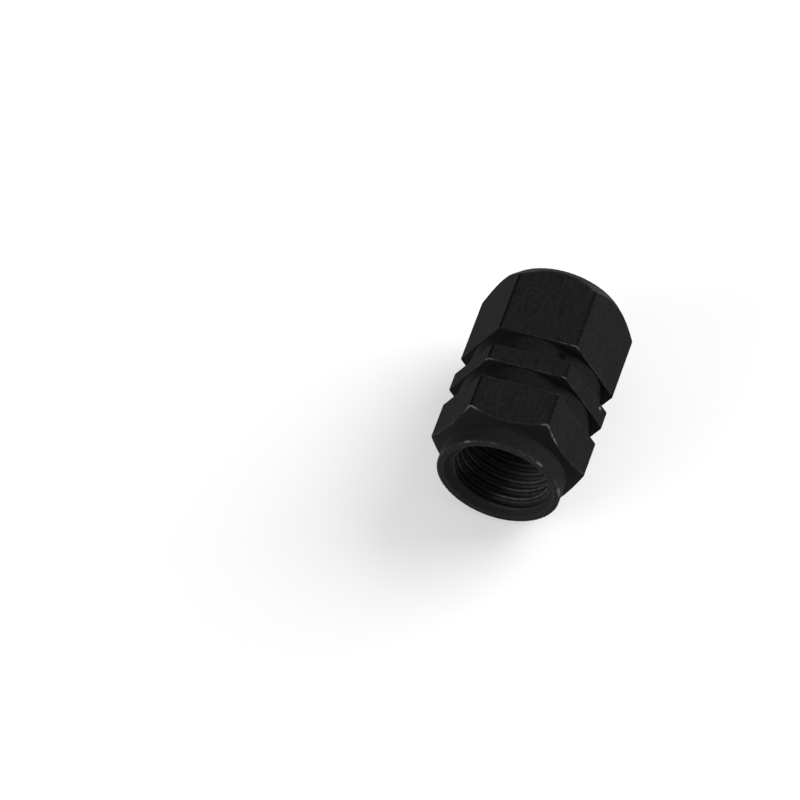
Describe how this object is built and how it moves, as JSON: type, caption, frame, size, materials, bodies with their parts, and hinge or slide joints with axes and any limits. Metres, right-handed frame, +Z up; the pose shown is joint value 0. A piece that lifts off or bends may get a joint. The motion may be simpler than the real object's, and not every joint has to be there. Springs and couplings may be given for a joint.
{
  "type": "tyre valve cap",
  "caption": "Hexagonal screw-on metal cap that keeps dirt out of a tyre valve, with turned chamfers, round grooves, a short collar and a blind threaded bore.",
  "frame": {"origin": "on the surface that the cap lies on, under the middle of its length", "axes": "+Y along the cap's axis from the mouth to the closed end, +Z up from the flat that it lies on"},
  "size_m": [0.012, 0.017, 0.0105],
  "materials": {
    "black_anodised": "black anodised, satin, with fine draw lines along the flats and light wear on the edges"
  },
  "bodies": {
    "root": {"cap_body": "black_anodised"}
  },
  "joints": []
}
